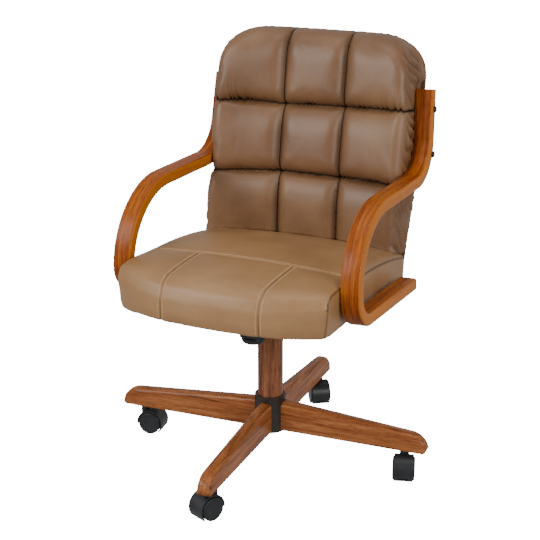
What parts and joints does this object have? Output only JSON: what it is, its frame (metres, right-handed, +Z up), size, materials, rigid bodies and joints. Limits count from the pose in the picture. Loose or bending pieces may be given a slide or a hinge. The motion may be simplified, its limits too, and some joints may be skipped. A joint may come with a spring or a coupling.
{
  "type": "office chair",
  "caption": "Upholstered swivel and tilt armchair with bent wood arms, a panelled back and a wooden leg base on casters, for sitting at a desk or table.",
  "frame": {"origin": "on the floor, under the column axis at the middle of the base", "axes": "+Z up, -Y is the way the sitter faces, +X is the sitter's left"},
  "size_m": [0.7114, 0.7115, 0.8887],
  "materials": {
    "oak_base": "satin lacquer on stained oak",
    "oak_arm": "satin lacquer on bent laminated oak",
    "bronze_paint": "semi-matt dark bronze paint",
    "steel": "bright zinc plate",
    "black_metal": "satin black paint",
    "nylon": "plain nylon",
    "rubber": "matt",
    "caster_plastic": "satin moulded nylon",
    "knob_plastic": "satin moulded plastic",
    "plywood": "raw plywood",
    "seat_leather": "soft-grained tan leatherette",
    "back_leather": "soft-grained tan leatherette"
  },
  "bodies": {
    "base": {"hub_sleeve": "bronze_paint", "hub_plate": "bronze_paint", "leg_left": "oak_base", "leg_back": "oak_base", "leg_right": "oak_base", "leg_front": "oak_base", "leg_screws": "steel", "caster_sockets": "steel", "column_tube": "steel", "column_sleeve": "oak_base", "column_bushes": "nylon"},
    "swivel": {"spindle": "steel", "tilt_housing": "black_metal", "torsion_lever": "steel", "torsion_rubber": "rubber", "knob_washer": "steel"},
    "tension_knob": {"tension_knob": "knob_plastic"},
    "tension_bolt": {"tension_bolt": "steel"},
    "seat": {"pivot_axle": "steel", "top_plate": "black_metal", "tilt_stop": "rubber", "seat_board": "plywood", "seat_cushion": "seat_leather", "plate_screws": "steel", "arm_brackets": "black_metal", "bracket_screws": "steel", "arm_left": "oak_arm", "arm_right": "oak_arm", "back_bolts": "black_metal", "back_cushion": "back_leather", "back_board": "plywood", "back_shell": "back_leather"},
    "caster_left": {"caster_hood_left": "caster_plastic", "caster_stem_left": "steel", "caster_axle_left": "steel"},
    "wheel_left_1": {"caster_wheel_left_1": "caster_plastic"},
    "wheel_left_2": {"caster_wheel_left_2": "caster_plastic"},
    "caster_back": {"caster_hood_back": "caster_plastic", "caster_stem_back": "steel", "caster_axle_back": "steel"},
    "wheel_back_1": {"caster_wheel_back_1": "caster_plastic"},
    "wheel_back_2": {"caster_wheel_back_2": "caster_plastic"},
    "caster_right": {"caster_hood_right": "caster_plastic", "caster_stem_right": "steel", "caster_axle_right": "steel"},
    "wheel_right_1": {"caster_wheel_right_1": "caster_plastic"},
    "wheel_right_2": {"caster_wheel_right_2": "caster_plastic"},
    "caster_front": {"caster_hood_front": "caster_plastic", "caster_stem_front": "steel", "caster_axle_front": "steel"},
    "wheel_front_1": {"caster_wheel_front_1": "caster_plastic"},
    "wheel_front_2": {"caster_wheel_front_2": "caster_plastic"}
  },
  "joints": [
    {"name": "seat_swivel", "type": "hinge", "parent": "base", "child": "swivel", "pos_m": [0, 0, 0.3], "axis": [0, 0, 1], "continuous": true},
    {"name": "seat_tilt", "type": "hinge", "parent": "swivel", "child": "seat", "pos_m": [0, -0.03, 0.338], "axis": [-1, 0, 0], "range_deg": [0, 12], "stiffness_Nm_per_rad": 110, "springref_deg": -20.05},
    {"name": "tension_turn", "type": "hinge", "parent": "swivel", "child": "tension_knob", "pos_m": [0, -0.083, 0.29], "axis": [0, 0, 1], "range_deg": [-1440, 0]},
    {"name": "tension_draw", "type": "slide", "parent": "swivel", "child": "tension_bolt", "axis": [0, 0, 1], "range_m": [0, 0.005]},
    {"name": "caster_left_swivel", "type": "hinge", "parent": "base", "child": "caster_left", "pos_m": [0.30549, 0.01761, 0.06], "axis": [0, 0, 1], "continuous": true},
    {"name": "wheel_left_1_spin", "type": "hinge", "parent": "caster_left", "child": "wheel_left_1", "pos_m": [0.31028, 0.00235, 0.025], "axis": [0.9542, 0.299, 0], "continuous": true},
    {"name": "wheel_left_2_spin", "type": "hinge", "parent": "caster_left", "child": "wheel_left_2", "pos_m": [0.31028, 0.00235, 0.025], "axis": [0.9542, 0.299, 0], "continuous": true},
    {"name": "caster_back_swivel", "type": "hinge", "parent": "base", "child": "caster_back", "pos_m": [-0.01761, 0.30549, 0.06], "axis": [0, 0, 1], "continuous": true},
    {"name": "wheel_back_1_spin", "type": "hinge", "parent": "caster_back", "child": "wheel_back_1", "pos_m": [-0.00881, 0.29213, 0.025], "axis": [0.8348, 0.5505, 0], "continuous": true},
    {"name": "wheel_back_2_spin", "type": "hinge", "parent": "caster_back", "child": "wheel_back_2", "pos_m": [-0.00881, 0.29213, 0.025], "axis": [0.8348, 0.5505, 0], "continuous": true},
    {"name": "caster_right_swivel", "type": "hinge", "parent": "base", "child": "caster_right", "pos_m": [-0.30549, -0.01761, 0.06], "axis": [0, 0, 1], "continuous": true},
    {"name": "wheel_right_1_spin", "type": "hinge", "parent": "caster_right", "child": "wheel_right_1", "pos_m": [-0.28966, -0.01528, 0.025], "axis": [-0.1461, 0.9893, 0], "continuous": true},
    {"name": "wheel_right_2_spin", "type": "hinge", "parent": "caster_right", "child": "wheel_right_2", "pos_m": [-0.28966, -0.01528, 0.025], "axis": [-0.1461, 0.9893, 0], "continuous": true},
    {"name": "caster_front_swivel", "type": "hinge", "parent": "base", "child": "caster_front", "pos_m": [0.01761, -0.30549, 0.06], "axis": [0, 0, 1], "continuous": true},
    {"name": "wheel_front_1_spin", "type": "hinge", "parent": "caster_front", "child": "wheel_front_1", "pos_m": [0.01121, -0.32015, 0.025], "axis": [0.9164, -0.4003, 0], "continuous": true},
    {"name": "wheel_front_2_spin", "type": "hinge", "parent": "caster_front", "child": "wheel_front_2", "pos_m": [0.01121, -0.32015, 0.025], "axis": [0.9164, -0.4003, 0], "continuous": true}
  ],
  "couplings": [
    {"joint": "tension_draw", "follows": "tension_turn", "m_per_rad": -0.00019894}
  ]
}
